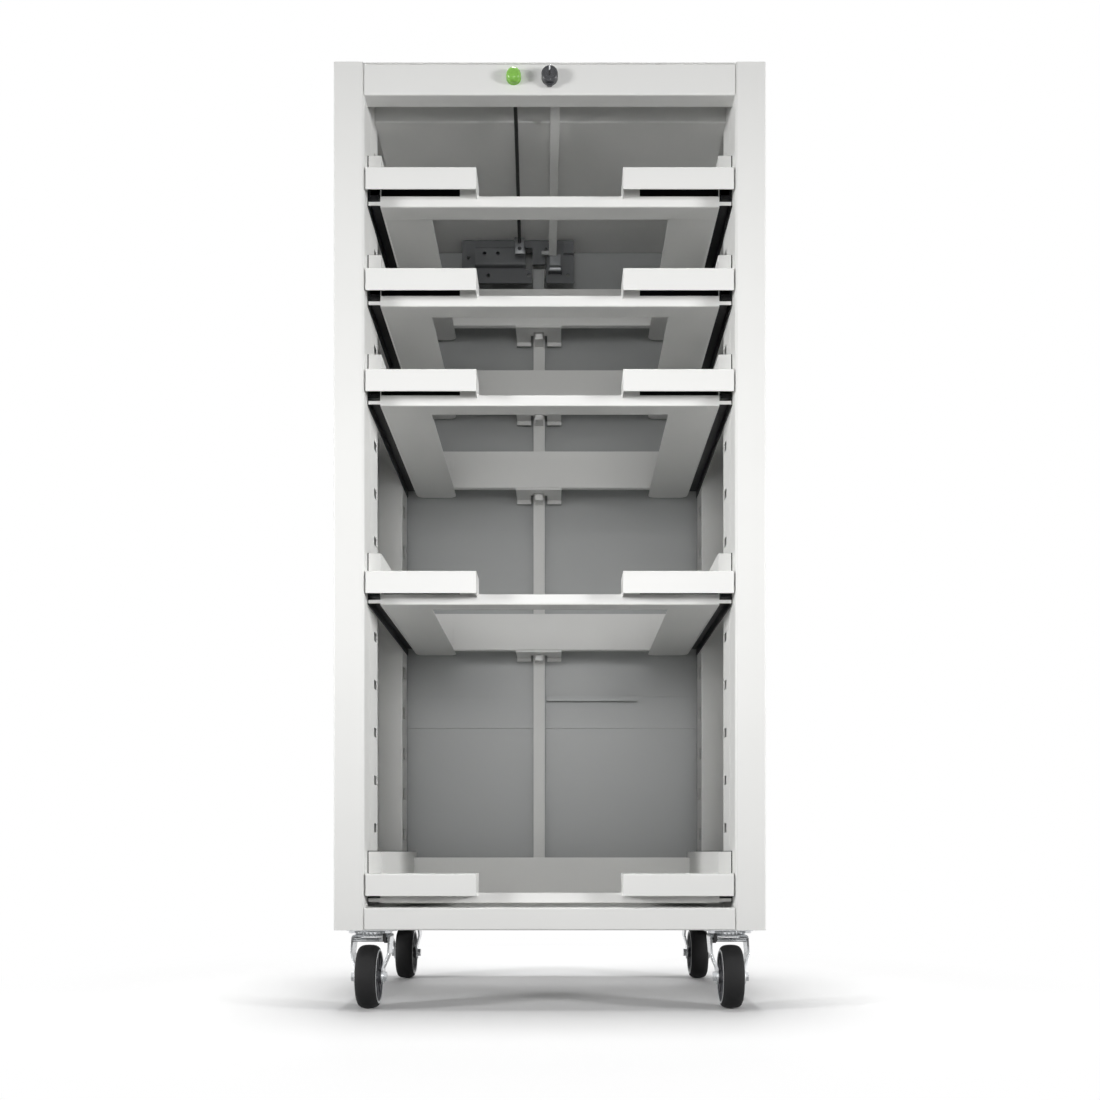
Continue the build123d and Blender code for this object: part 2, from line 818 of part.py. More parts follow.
# Lock bar: front web, two flanges and the hooks under the catches
bar_top = body_top - bar_top_drop
hook_rise = catch_thickness + bar_hook_clearance
bar_bottom = tray_level(tray_rows[-1]) - hook_rise - bar_hook_tip - bar_hook_thickness
with BuildPart() as lock_bar:
    bar_left = lock_offset - bar_width / 2
    bar_right = lock_offset + bar_width / 2
    block((bar_left, bar_right), (bar_front, bar_front + bar_sheet), (bar_bottom, bar_top))
    head_sides = (lock_offset - bar_head_width / 2, lock_offset + bar_head_width / 2)
    block(head_sides, (bar_front, bar_front + bar_sheet), (bar_top - bar_head_height, bar_top))
    for flange in ((bar_left, bar_left + bar_sheet), (bar_right - bar_sheet, bar_right)):
        block(flange, (bar_front, bar_front + bar_depth), (bar_bottom, bar_top))
    hook_sides = (lock_offset - bar_hook_width / 2, lock_offset + bar_hook_width / 2)
    hook_center = wall_front + catch_hole_setback
    for row in tray_rows:
        tip_top = tray_level(row) - hook_rise
        hook_top = tip_top - bar_hook_tip
        hook_front = hook_center - bar_hook_thickness / 2
        block(hook_sides, (hook_front, bar_front), (hook_top - bar_hook_thickness, hook_top))
        block(hook_sides, (hook_front, hook_front + bar_hook_thickness), (hook_top, tip_top))
save(lock_bar.part, "lock_bar")

# Guides of the lock bar on the back panel
guide_inner = bar_width / 2 + guide_clearance
guide_outer = guide_inner + guide_sheet
guide_front = bar_front - guide_clearance - guide_sheet
with BuildPart() as lock_bar_guides:
    for level in guide_levels:
        span = (body_bottom + level - guide_height / 2, body_bottom + level + guide_height / 2)
        block((lock_offset - guide_outer, lock_offset + guide_outer), (back_inner - guide_sheet, back_inner), span)
        for edge in (-1, 1):
            cheek = sorted((lock_offset + edge * guide_inner, lock_offset + edge * guide_outer))
            block(cheek, (guide_front, back_inner), span)
            lip = sorted((lock_offset + edge * (guide_inner - guide_lip), lock_offset + edge * guide_outer))
            block(lip, (guide_front, guide_front + guide_sheet), span)
save(lock_bar_guides.part, "lock_bar_guides")

# Rivets of the back panels and screws of the casters
back_face = front + body_depth
rivet_x = half_width - rear_flange / 2
rivet_pitch = (body_height - 2 * rear_flange) / (rivet_rows - 1)
plate_bottom_face = body_bottom - caster_plate_thickness
with BuildPart() as screws:
    for sign in sides.values():
        for index in range(rivet_rows):
            rivet_level = body_bottom + rear_flange + index * rivet_pitch
            disc(facing(back_face + rivet_height), (sign * rivet_x, rivet_level), rivet_radius, rivet_height)
        for kingpin_y in kingpins.values():
            with BuildSketch(Plane.XY.offset(plate_bottom_face - bolt_head_height)) as heads:
                with Locations((sign * caster_offset, kingpin_y)):
                    with GridLocations(bolt_spacing, bolt_spacing, 2, 2):
                        RegularPolygon(bolt_head_radius, 6)
            extrude(heads.sketch, amount=bolt_head_height)
            with BuildSketch(Plane.XY.offset(plate_bottom_face)) as shanks:
                with Locations((sign * caster_offset, kingpin_y)):
                    with GridLocations(bolt_spacing, bolt_spacing, 2, 2):
                        Circle(bolt_radius)
            extrude(shanks.sketch, amount=caster_plate_thickness + 2 * sheet)
save(screws.part, "screws")

# Caster top plates with the fixed raceway and the kingpin bore
with BuildPart() as caster_plates:
    for sign in sides.values():
        for kingpin_y in kingpins.values():
            with BuildSketch(Plane.XY.offset(plate_bottom_face)) as plate:
                with Locations((sign * caster_offset, kingpin_y)):
                    RectangleRounded(caster_plate, caster_plate, caster_plate_corner)
                    with GridLocations(bolt_spacing, bolt_spacing, 2, 2):
                        Circle(bolt_radius + bolt_hole_clearance, mode=Mode.SUBTRACT)
            extrude(plate.sketch, amount=caster_plate_thickness)
            with BuildSketch(Plane.XY.offset(plate_bottom_face - raceway_height)) as raceway:
                with Locations((sign * caster_offset, kingpin_y)):
                    Circle(raceway_radius)
            extrude(raceway.sketch, amount=raceway_height)
            with BuildSketch(Plane.XY.offset(plate_bottom_face - raceway_height)) as bore:
                with Locations((sign * caster_offset, kingpin_y)):
                    Circle(kingpin_radius + running_clearance)
            extrude(bore.sketch, amount=raceway_height, mode=Mode.SUBTRACT)
save(caster_plates.part, "caster_plates")

# Swivel forks, hubs, tyres and brake levers; the front wheels trail forwards, the rear ones backwards
crown_top = plate_bottom_face - raceway_height - face_clearance
crown_bottom = crown_top - fork_thickness
fork_inner = hub_boss_width / 2 + face_clearance
fork_outer = fork_inner + fork_thickness
hub_radius = wheel_radius - tyre_thickness
directions = {"front": -1, "rear": 1}
brake_y = kingpins["front"] - brake_pin_setback
brake_z = crown_bottom - brake_pin_drop
for place, kingpin_y in kingpins.items():
    for side_name, sign in sides.items():
        kingpin_x = sign * caster_offset
        axle_y = kingpin_y + directions[place] * trail
        name = f"{place}_{side_name}"

        with BuildPart() as fork:
            fork_foot = wheel_radius - fork_end_radius
            waist = wheel_radius + fork_end_radius
            shoulder = waist + fork_shoulder
            fork_points = (
                (kingpin_x - fork_outer, fork_foot),
                (kingpin_x - fork_outer, waist),
                (kingpin_x - crown_half_width, shoulder),
                (kingpin_x - crown_half_width, crown_top),
                (kingpin_x + crown_half_width, crown_top),
                (kingpin_x + crown_half_width, shoulder),
                (kingpin_x + fork_outer, waist),
                (kingpin_x + fork_outer, fork_foot),
            )
            fork_rear = max(kingpin_y, axle_y) + fork_depth
            fork_span = abs(axle_y - kingpin_y) + 2 * fork_depth
            extrude(folded(facing(fork_rear), fork_points, fork_bend, fork_thickness, Side.RIGHT), amount=fork_span)
            # side view of the fork: crown over the kingpin, round ends at the axle
            with BuildSketch(across(kingpin_x - crown_half_width)) as side_view:
                with BuildLine():
                    Polyline(
                        (kingpin_y - directions[place] * fork_depth / 2, crown_top),
                        (kingpin_y + directions[place] * fork_depth / 2, crown_top),
                        (axle_y + directions[place] * fork_end_radius, wheel_radius),
                        (axle_y - directions[place] * fork_end_radius, wheel_radius),
                        close=True,
                    )
                make_face()
                with Locations((axle_y, wheel_radius)):
                    Circle(fork_end_radius)
            extrude(side_view.sketch, amount=2 * crown_half_width, mode=Mode.INTERSECT)
            with BuildSketch(Plane.XY.offset(crown_bottom)) as kingpin:
                with Locations((kingpin_x, kingpin_y)):
                    Circle(kingpin_radius)
            extrude(kingpin.sketch, amount=fork_thickness + face_clearance + raceway_height)
            disc(across(kingpin_x - fork_outer), (axle_y, wheel_radius), axle_radius, 2 * fork_outer)
            for edge in (-1, 1):
                with BuildSketch(across(kingpin_x + edge * fork_outer)) as axle_head:
                    with Locations((axle_y, wheel_radius)):
                        RegularPolygon(axle_head_radius, 6)
                extrude(axle_head.sketch, amount=edge * axle_head_height)
            if place == "front":
                pin_half = crown_half_width - fork_thickness
                disc(across(kingpin_x - pin_half), (brake_y, brake_z), brake_pin_radius, 2 * pin_half)
        save(fork.part, f"caster_fork_{name}")

        if place == "front":
            lever_x = kingpin_x - sign * brake_offset
            lever_side = across(lever_x - brake_width / 2)
            with BuildPart() as brake_lever:
                disc(lever_side, (brake_y, brake_z), brake_barrel_radius, brake_width)
                with BuildSketch(lever_side) as lever_view:
                    with Locations((brake_y - brake_length / 2, brake_z)):
                        Rectangle(brake_length, brake_thickness)
                    with Locations((brake_y - brake_length, brake_z + brake_height / 2)):
                        Rectangle(brake_thickness, brake_height + brake_thickness)
                extrude(lever_view.sketch, amount=brake_width)
                disc(
                    lever_side,
                    (brake_y, brake_z),
                    brake_pin_radius + running_clearance,
                    brake_width,
                    mode=Mode.SUBTRACT,
                )
            save(brake_lever.part, f"brake_lever_{side_name}")

        with BuildPart() as hub:
            disc(across(kingpin_x - hub_width / 2), (axle_y, wheel_radius), hub_radius, hub_width)
            for edge in (-1, 1):
                with BuildSketch(across(kingpin_x + edge * hub_width / 2)) as recess:
                    with Locations((axle_y, wheel_radius)):
                        Circle(hub_radius - hub_recess)
                        Circle(hub_boss_radius, mode=Mode.SUBTRACT)
                extrude(recess.sketch, amount=-edge * hub_recess, mode=Mode.SUBTRACT)
            disc(across(kingpin_x - hub_boss_width / 2), (axle_y, wheel_radius), hub_boss_radius, hub_boss_width)
            disc(
                across(kingpin_x - hub_boss_width / 2),
                (axle_y, wheel_radius),
                axle_radius + running_clearance,
                hub_boss_width,
                mode=Mode.SUBTRACT,
            )
        save(hub.part, f"wheel_hub_{name}")

        with BuildPart() as tyre:
            disc(across(kingpin_x - tyre_width / 2), (axle_y, wheel_radius), wheel_radius, tyre_width)
            fillet(tyre.edges().filter_by(GeomType.CIRCLE), tyre_shoulder)
            disc(
                across(kingpin_x - tyre_width / 2),
                (axle_y, wheel_radius),
                hub_radius,
                tyre_width,
                mode=Mode.SUBTRACT,
            )
        save(tyre.part, f"tyre_{name}")
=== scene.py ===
# %% [markdown]
# # Tool case storage cabinet
#
# A sheet steel cabinet on four casters, with five pull-out trays behind one central lock. The packed
# model gives every main form in its true size and place, so this script doesn't model the cabinet
# again. It gives each node a procedural finish, adds the small turned and folded pieces that only
# the eye needs, and sets the camera and the lights as they stand in the photograph.

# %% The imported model, and its box before anything is added
import math

import bmesh
import bpy
from mathutils import Matrix, Vector


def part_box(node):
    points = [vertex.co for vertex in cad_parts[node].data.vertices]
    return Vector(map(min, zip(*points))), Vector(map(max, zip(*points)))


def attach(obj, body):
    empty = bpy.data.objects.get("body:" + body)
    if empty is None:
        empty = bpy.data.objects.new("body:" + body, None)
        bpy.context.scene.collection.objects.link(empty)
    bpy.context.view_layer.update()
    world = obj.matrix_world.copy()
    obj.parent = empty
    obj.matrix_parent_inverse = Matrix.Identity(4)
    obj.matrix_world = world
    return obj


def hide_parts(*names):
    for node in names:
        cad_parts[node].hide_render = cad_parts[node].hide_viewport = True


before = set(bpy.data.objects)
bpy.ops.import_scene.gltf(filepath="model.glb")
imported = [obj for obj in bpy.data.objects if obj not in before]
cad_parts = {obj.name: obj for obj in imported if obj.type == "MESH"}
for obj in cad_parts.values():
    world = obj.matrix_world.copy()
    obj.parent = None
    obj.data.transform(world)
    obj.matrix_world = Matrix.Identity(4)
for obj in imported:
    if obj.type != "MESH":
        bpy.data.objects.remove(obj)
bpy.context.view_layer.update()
scene = bpy.context.scene

# %% [markdown]
# Places are easier to read as on a drawing, in millimetres: across from the middle, back from the
# front plane, and up from the floor. One helper turns such a place into a point of the scene, which
# is in metres. The front plane is the face of the header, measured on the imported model, so it isn't
# written down a second time.

# %% From a place on the drawing to a point of the scene
MM = 0.001
FRONT_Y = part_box("header")[0][1]
SIDES = {"left": -1, "right": 1}


def mm(across, back, up):
    """The point at a place given in millimetres."""
    return Vector((across * MM, FRONT_Y + back * MM, up * MM))


print(f"front plane at y = {FRONT_Y:.4f} m")

# %% [markdown]
# ## Finishes
#
# A finish is a small tree of nodes. Colours are written as sRGB hex codes, and one function turns
# them to the linear values that the shader works with. One function adds a node: a number or colour
# is set on its input, and an output of another node is linked to it. Patterns read Object
# coordinates, which are metres here. So they keep their size in millimetres on every part, and they
# go with a tray when it slides, which window coordinates wouldn't do.

# %% Colours
def srgb(code):
    """Linear RGBA from an sRGB hex code."""
    parts = [int(code[i:i + 2], 16) / 255 for i in (1, 3, 5)]
    linear = [p / 12.92 if p <= 0.04045 else ((p + 0.055) / 1.055) ** 2.4 for p in parts]
    return (*linear, 1.0)


print("floor paint as a linear colour:", [round(part, 3) for part in srgb("#F2F2F2")])


# %% One node with its settings, values and links
def add_node(tree, kind, inputs=None, **settings):
    """A new node; each input gets a value, or a link where it is given another node's output."""
    node = tree.nodes.new(kind)
    for name, value in settings.items():
        setattr(node, name, value)
    for name, value in (inputs or {}).items():
        if isinstance(value, bpy.types.NodeSocket):
            tree.links.new(value, node.inputs[name])
        else:
            node.inputs[name].default_value = value
    return node


def new_material(name, roughness, metallic=0.0):
    """A material, its tree, its Principled shader and the output of its object coordinates."""
    material = bpy.data.materials.new(name)
    material.use_nodes = True
    tree = material.node_tree
    shader = tree.nodes["Principled BSDF"]
    shader.inputs["Roughness"].default_value = roughness
    shader.inputs["Metallic"].default_value = metallic
    return material, tree, shader, add_node(tree, "ShaderNodeTexCoord").outputs["Object"]


# %% [markdown]
# Paint, plating, moulded plastic and rubber differ here in their numbers rather than in kind, so they
# share one recipe: two close tones in soft clouds, a roughness that follows those clouds, a fine
# relief, and edges that look rounded. The edges could be bevelled in the mesh, but the meshes of the
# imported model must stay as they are. A Bevel node in the material bends only the light on the edge,
# which is enough for a sheet 1.2 mm thick.

# %% The recipe of a mottled surface
def mottled(name, tones, roughness, swing, clouds, edge, stops=(0.3, 0.7), metallic=0.0,
            relief=None, strength=0.1, height=0.05):
    """A material of two tones.

    clouds and relief: size of the noise in mm, and its detail
    swing: what the clouds add to the roughness, at least and at most
    stops: where on the ramp the tones stand
    edge: radius in mm of the edge that looks rounded
    strength, height: of the relief, the height in mm
    """
    material, tree, shader, place = new_material(name, roughness, metallic)
    noises = {grain: add_node(tree, "ShaderNodeTexNoise",
                              {"Vector": place, "Scale": 1 / (grain[0] * MM), "Detail": grain[1]})
              for grain in dict.fromkeys((clouds, relief)) if grain}
    mottle = noises[clouds].outputs["Fac"]

    ramp = add_node(tree, "ShaderNodeValToRGB", {"Fac": mottle})
    for element, position, tone in zip(ramp.color_ramp.elements, stops, tones):
        element.position = position
        element.color = tone
    tree.links.new(ramp.outputs["Color"], shader.inputs["Base Color"])

    gloss = add_node(tree, "ShaderNodeMapRange", {"Value": mottle, "To Min": roughness + swing[0],
                                                  "To Max": roughness + swing[1]})
    tree.links.new(gloss.outputs["Result"], shader.inputs["Roughness"])

    surface = add_node(tree, "ShaderNodeBevel", {"Radius": edge * MM}, samples=4)
    if relief:
        surface = add_node(tree, "ShaderNodeBump", {
            "Strength": strength, "Distance": height * MM,
            "Height": noises[relief].outputs["Fac"], "Normal": surface.outputs["Normal"]})
    tree.links.new(surface.outputs["Normal"], shader.inputs["Normal"])
    print(f"finish: {name}, roughness {roughness}")
    return material


# %% [markdown]
# ### Powder coat
#
# The sheets are powder coated steel: dry paint, sprayed on and baked. It gives the eye a satin,
# light grey skin with fine orange peel, and tones that drift slowly over a panel. The peel, about a
# millimetre across, is near the limit of what the render can show, and coarser would look cast.
# The back panels are given a greyer colour and a lower roughness, and the lock plate a dark grey, as
# they look in the photograph.

# %% Painted sheet
def shade(color, factor, lift=0.0):
    """The same linear colour, darker or lighter."""
    return tuple(min(1.0, part * factor + lift) for part in color[:3]) + (1.0,)


def powder_coat(name, code, roughness=0.42):
    base = srgb(code)
    return mottled(name, (shade(base, 0.97), base), roughness, (-0.04, 0.04), clouds=(180, 2.0),
                   edge=0.7, relief=(1.1, 3.0), strength=0.12, height=0.06)


body_paint = powder_coat("light grey powder coat", "#EAEAE8")
inner_paint = powder_coat("light grey powder coat, inside", "#AEB0B0", roughness=0.34)
plate_paint = powder_coat("grey lock plate paint", "#6C6E70", roughness=0.5)
# The trays' coat also carries painted shade inside the grip hollows, added below.
tray_paint_with_grip_shade = powder_coat("light grey powder coat, trays, with painted grip shade", "#EAEAE8", roughness=0.40)

# %% [markdown]
# ### Painted shade inside the grips
#
# A hand pulls a tray by two slots in its front, with a closed hollow behind each. In the photograph
# these slots are dark with shade, but the soft lights of this scene would reach into them. So the shade
# is painted: a dark liner could be added as a piece, but here the tray's paint itself turns near black
# inside a box that holds only the hollow, because that needs no mesh and slides with the tray. The
# trays hang whole steps of 125 mm apart. So the height above such a step is the same in each of them,
# and one box serves all five.

# %% A box in object coordinates, in mm, inside which shade is painted on the tray
HOLLOW_ACROSS = (91.7, 212)
HOLLOW_BACK = (23.6, 49.4)
HOLLOW_UP = (10.5, 44.6)
ROW_PITCH = 125

tree = tray_paint_with_grip_shade.node_tree
shader = tree.nodes["Principled BSDF"]
place = next(node for node in tree.nodes if node.bl_idname == "ShaderNodeTexCoord").outputs["Object"]
axes = add_node(tree, "ShaderNodeSeparateXYZ", {"Vector": place}).outputs
across = add_node(tree, "ShaderNodeMath", {0: axes["X"]}, operation="ABSOLUTE")
above_row = add_node(tree, "ShaderNodeMath", {0: axes["Z"], 1: ROW_PITCH * MM}, operation="MODULO")

tests = []
for value, start, (low, high) in ((across.outputs["Value"], 0, HOLLOW_ACROSS),
                                  (axes["Y"], FRONT_Y, HOLLOW_BACK),
                                  (above_row.outputs["Value"], 0, HOLLOW_UP)):
    for limit, side in ((low, "GREATER_THAN"), (high, "LESS_THAN")):
        test = add_node(tree, "ShaderNodeMath", {0: value, 1: start + limit * MM}, operation=side)
        tests.append(test.outputs["Value"])

# %% All six tests at once: they are multiplied, and shade is painted where the result is 1
hollow = tests[0]
for test in tests[1:]:
    both = add_node(tree, "ShaderNodeMath", {0: hollow, 1: test}, operation="MULTIPLY")
    hollow = both.outputs["Value"]

COLOR_A, COLOR_B, COLOR_RESULT = 6, 7, 2    # a Mix node's sockets for colours, by their index
paint = shader.inputs["Base Color"].links[0].from_socket
# Painted shade: the tray colour turns near black inside the grip hollows.
painted_grip_shade = add_node(tree, "ShaderNodeMix", {"Factor": hollow, COLOR_A: paint, COLOR_B: srgb("#18191A")},
                    data_type="RGBA")
tree.links.new(painted_grip_shade.outputs[COLOR_RESULT], shader.inputs["Base Color"])
print(f"grip hollows: {len(tests)} limits around each")


# %% [markdown]
# ### Zinc plate
#
# Screws and casters are steel with a bright zinc plate: a metal, faintly blue, slightly cloudy where
# the passivation dried, and a little matt. The lock's lever and clevis have the same plate in a
# darker, duller state. A metal shows what it mirrors, so its clouds change the roughness more than
# the colour.

# %% Plated steel
def zinc_plate(name, code, roughness):
    base = srgb(code)
    return mottled(name, (shade(base, 0.88), base), roughness, (-0.07, 0.07), clouds=(9, 2.0),
                   stops=(0.35, 0.65), edge=0.5, metallic=1.0, relief=(0.5, 2.0), strength=0.08,
                   height=0.03)


zinc = zinc_plate("bright zinc plated steel", "#D9DBDD", 0.28)
lock_zinc = zinc_plate("zinc plated lock parts", "#8E9092", 0.42)


# %% [markdown]
# ### Black metals
#
# The slides are rolled steel with a black coating, the push rod and the brake levers are blackened
# steel, and the lock knob is die cast zinc with a black finish. Black surfaces show their shape by
# gloss, so each has its own roughness. Their grain of 1.6 mm is coarser than the real one, which would
# be too fine to show.

# %% Black finishes
def black_finish(name, code, roughness, metallic=0.0):
    base = srgb(code)
    return mottled(name, (base, shade(base, 1.6, lift=0.004)), roughness, (-0.06, 0.08),
                   clouds=(1.6, 4.0), stops=(0.35, 0.7), edge=0.4, metallic=metallic,
                   relief=(1.6, 4.0), height=0.04)


slide_steel = black_finish("black coated slide steel", "#1C1D1F", 0.38, metallic=0.6)
black_wire = black_finish("black coated wire", "#121213", 0.45)
knob_black = black_finish("black die cast zinc", "#36373A", 0.30)
# Painted shade: this near-black finish goes on the slab that stands for the hollow of the key slot.
keyway_painted_shade = black_finish("painted shade of the key slot", "#070708", 0.6)

# %% [markdown]
# ### Plastics and rubber
#
# The push button is glossy moulded plastic, smooth enough to need no relief. The wheel centres are
# moulded with a fine grain, dark grey with a pale ring. The tyres are matt rubber, which mirrors less
# than plastic, so its specular level is lower.

# %% Moulded parts
button_green = mottled("glossy green plastic", (srgb("#7DB945"), srgb("#87C24E")), 0.22,
                       (-0.04, 0.04), clouds=(2.5, 2.0), edge=0.6)
wheel_plastic = mottled("grey moulded wheel plastic", (srgb("#4A4B4D"), srgb("#55565A")), 0.5,
                        (-0.06, 0.08), clouds=(1.2, 3.0), edge=0.8, relief=(1.2, 3.0), strength=0.08)
rim_plastic = mottled("pale moulded wheel ring", (srgb("#C8C9CA"), srgb("#D6D7D8")), 0.42,
                      (-0.06, 0.06), clouds=(1.4, 3.0), edge=0.4, relief=(1.4, 3.0), strength=0.06)
rubber = mottled("matt black tyre rubber", (srgb("#121213"), srgb("#1C1C1D")), 0.7, (-0.08, 0.1),
                 clouds=(0.9, 5.0), stops=(0.3, 0.75), edge=0.6, relief=(0.9, 5.0), strength=0.15)
rubber.node_tree.nodes["Principled BSDF"].inputs["Specular IOR Level"].default_value = 0.3

# %% [markdown]
# ### A finish for each node
#
# The nodes' names start with what they are, such as tray_3 or caster_front_left, so a short table of
# beginnings gives each of them its finish. The first one that fits counts, which is why the guides of
# the lock bar stand before the lock bar. Only the material in the slots changes, never the mesh.

# %% Finishes by the start of a node's name
FINISHES = (
    ("side_panel", body_paint), ("header", body_paint), ("top_panel", body_paint),
    ("bottom_panel", body_paint), ("base_channels", body_paint), ("ceiling_plate", body_paint),
    ("back_", inner_paint), ("upright", body_paint), ("tray", tray_paint_with_grip_shade), ("slide_", slide_steel),
    ("screws", zinc), ("lock_barrel", knob_black), ("mechanism_plate", plate_paint),
    ("lock_bar_guides", inner_paint), ("caster_", zinc), ("push_button", button_green),
    ("push_rod", black_wire), ("lock_knob", knob_black), ("link_bar", body_paint),
    ("latch_lever", lock_zinc), ("lock_bar", body_paint), ("wheel_hub", wheel_plastic),
    ("tyre", rubber), ("brake_lever", black_wire),
)
for name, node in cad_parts.items():
    finish = next(material for start, material in FINISHES if name.startswith(start))
    for slot in node.material_slots:
        slot.material = finish
print(f"finishes given to {len(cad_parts)} nodes")


# %% [markdown]
# ## Detail pieces
#
# A detail piece is shaped as a bmesh in its place, then handed over: doubles merged, normals turned
# outwards, smooth shading with sharp corners kept, and a body to ride on. Its object sits at the
# origin, so patterns on it don't slide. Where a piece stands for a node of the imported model, the
# node is hidden and stays for collisions.

# %% From a bmesh to a piece that rides on a body
def finish_piece(name, bm, materials, body, replaced=(), smooth_angle=35):
    bmesh.ops.remove_doubles(bm, verts=bm.verts, dist=1e-6)
    bmesh.ops.recalc_face_normals(bm, faces=bm.faces)
    mesh = bpy.data.meshes.new(name)
    bm.to_mesh(mesh)
    bm.free()
    for material in materials:
        mesh.materials.append(material)
    mesh.shade_smooth()
    mesh.set_sharp_from_angle(angle=math.radians(smooth_angle))
    piece = bpy.data.objects.new(name, mesh)
    scene.collection.objects.link(piece)
    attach(piece, body)
    if replaced:
        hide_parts(*replaced)
    print(f"piece: {name}, {len(mesh.polygons)} faces, on {body}")


# %% [markdown]
# ### Tyres
#
# A tyre is a solid of revolution, and so are its ring, the button and the knob. A cylinder with a
# bevel would give a tyre a flat tread. The section through its rubber, drawn as a few points and spun
# once round the axle, gives the round shoulder that the photograph shows. The spin merges its last
# step with its first, so there is no seam.

# %% Turning a section round an axis
def lathe(bm, profile, centre, axis, steps=64, material=0):
    """Closed profile of (radius, along) in millimetres turned round an axis through a point."""
    axis = Vector(axis)
    side = axis.orthogonal().normalized()
    rim = [bm.verts.new(centre + side * (radius * MM) + axis * (along * MM))
           for radius, along in profile]
    edges = [bm.edges.new((rim[i], rim[(i + 1) % len(rim)])) for i in range(len(rim))]
    before = set(bm.faces)
    bmesh.ops.spin(bm, geom=edges, cent=centre, axis=axis, angle=math.tau, steps=steps,
                   use_merge=True)
    for face in set(bm.faces) - before:
        face.material_index = material


# %% Directions, and where the casters stand: from the middle and from the front plane, in mm
ACROSS, BACK, UP = (1, 0, 0), (0, 1, 0), (0, 0, 1)
CASTER_ACROSS = 228
KINGPINS = {"front": 62, "rear": 368}
AXLES = {"front": 30, "rear": 400}
WHEEL_RADIUS = 40
WHEELS = {f"{row}_{side}": mm(sign * CASTER_ACROSS, back, WHEEL_RADIUS)
          for row, back in AXLES.items() for side, sign in SIDES.items()}
print("wheel centres:", {name: [round(part, 3) for part in centre] for name, centre in WHEELS.items()})

# %% Tyres
TYRE_PROFILE = (
    (32.8, -13.1), (34.4, -13.0), (36.2, -12.2), (37.7, -10.8), (38.9, -8.6), (39.7, -5.2),
    (WHEEL_RADIUS, 0.0),
    (39.7, 5.2), (38.9, 8.6), (37.7, 10.8), (36.2, 12.2), (34.4, 13.0), (32.8, 13.1), (32.2, 0.0),
)
for name, centre in WHEELS.items():
    bm = bmesh.new()
    lathe(bm, TYRE_PROFILE, centre, ACROSS, steps=96)
    finish_piece(f"tyre_tread_{name}", bm, [rubber], f"wheel_{name}", [f"tyre_{name}"])


# %% [markdown]
# ### Wheel centres
#
# The wheel centre is one moulding: hub, thin web, eight ribs and the seat of the tyre, with a pale
# ring on each side. Hub, web and seat are one turned profile. A rib is flat, so it is an outline
# pushed along its thickness, and it is sunk a little into hub and seat so that no gap shows.

# %% An outline pushed along a vector
def slab(bm, corners, depth, material=0):
    before = set(bm.faces)
    face = bm.faces.new([bm.verts.new(corner) for corner in corners])
    moved = bmesh.ops.extrude_face_region(bm, geom=[face])
    verts = [item for item in moved["geom"] if isinstance(item, bmesh.types.BMVert)]
    bmesh.ops.translate(bm, verts=verts, vec=depth)
    for face in set(bm.faces) - before:
        face.material_index = material


# %% Profiles of the moulding and its ring, and the ribs, in mm
CENTRE_PROFILE = (
    (4.2, -15.4), (8.4, -15.4), (9.0, -14.8), (9.2, -9.0), (26.0, -7.4), (29.0, -8.4),
    (30.6, -12.6), (33.4, -12.8), (33.6, 0.0), (33.4, 12.8), (30.6, 12.6), (29.0, 8.4),
    (26.0, 7.4), (9.2, 9.0), (9.0, 14.8), (8.4, 15.4), (4.2, 15.4),
)
RING_PROFILE = ((31.4, -11.0), (31.8, -13.2), (33.3, -13.5), (34.0, -13.2), (34.0, -11.0))
RIBS = 8
RIB_FOOT, RIB_RISE = 7.0, 4.6
RIB_OUTLINE = ((-1.2, 8.6), (1.2, 8.6), (1.2, 30.4), (-1.2, 30.4))


def rib(bm, centre, turn, face_side):
    """One rib on one side of the web, from the hub out to the seat of the tyre."""
    corners = [centre + turn @ (Vector((face_side * RIB_FOOT, across, up)) * MM)
               for across, up in RIB_OUTLINE]
    slab(bm, corners, Vector((face_side * RIB_RISE * MM, 0, 0)))


# %% Wheel centres
for name, centre in WHEELS.items():
    bm = bmesh.new()
    lathe(bm, CENTRE_PROFILE, centre, ACROSS, steps=72)
    for face_side in (-1, 1):
        ring = [(radius, along * face_side) for radius, along in RING_PROFILE]
        lathe(bm, ring, centre, ACROSS, steps=96, material=1)
        for number in range(RIBS):
            rib(bm, centre, Matrix.Rotation(number * math.tau / RIBS, 3, "X"), face_side)
    finish_piece(f"wheel_centre_{name}", bm, [wheel_plastic, rim_plastic], f"wheel_{name}",
                 [f"wheel_hub_{name}"])

# %% [markdown]
# ### Push button
#
# The button is a small turned cap that stands out of a round hole in the header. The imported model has
# it as a plain cylinder. This one replaces it, with a full round edge and a low collar round its foot,
# because the highlight on that edge is what shows it to be round.

# %% Push button
BUTTON = mm(-44.5, 0, 1155)
BUTTON_PROFILE = (
    (0.001, -11.0), (4.6, -10.9), (6.9, -10.0), (8.5, -8.2), (9.15, -5.6), (9.2, -2.2), (8.9, -1.9),
    (8.9, -0.4), (9.15, 0.2), (9.15, 11.0), (4.0, 11.0), (4.0, 29.0), (0.001, 29.0),
)
bm = bmesh.new()
lathe(bm, BUTTON_PROFILE, BUTTON, BACK, steps=72)
finish_piece("push_button_cap", bm, [button_green], "button", ["push_button"],
             smooth_angle=50)


# %% [markdown]
# ### Small parts behind the lock
#
# Three small steel parts show in the lock space: the clevis on the push rod, with its cross pin, the
# head of the lock bar, which reaches forward through the slot of the mechanism plate, and the folded
# bracket at the rear end of the link bar. All are short blocks with softened edges. So one helper
# pushes a rectangle backwards or forwards and bevels all its edges.

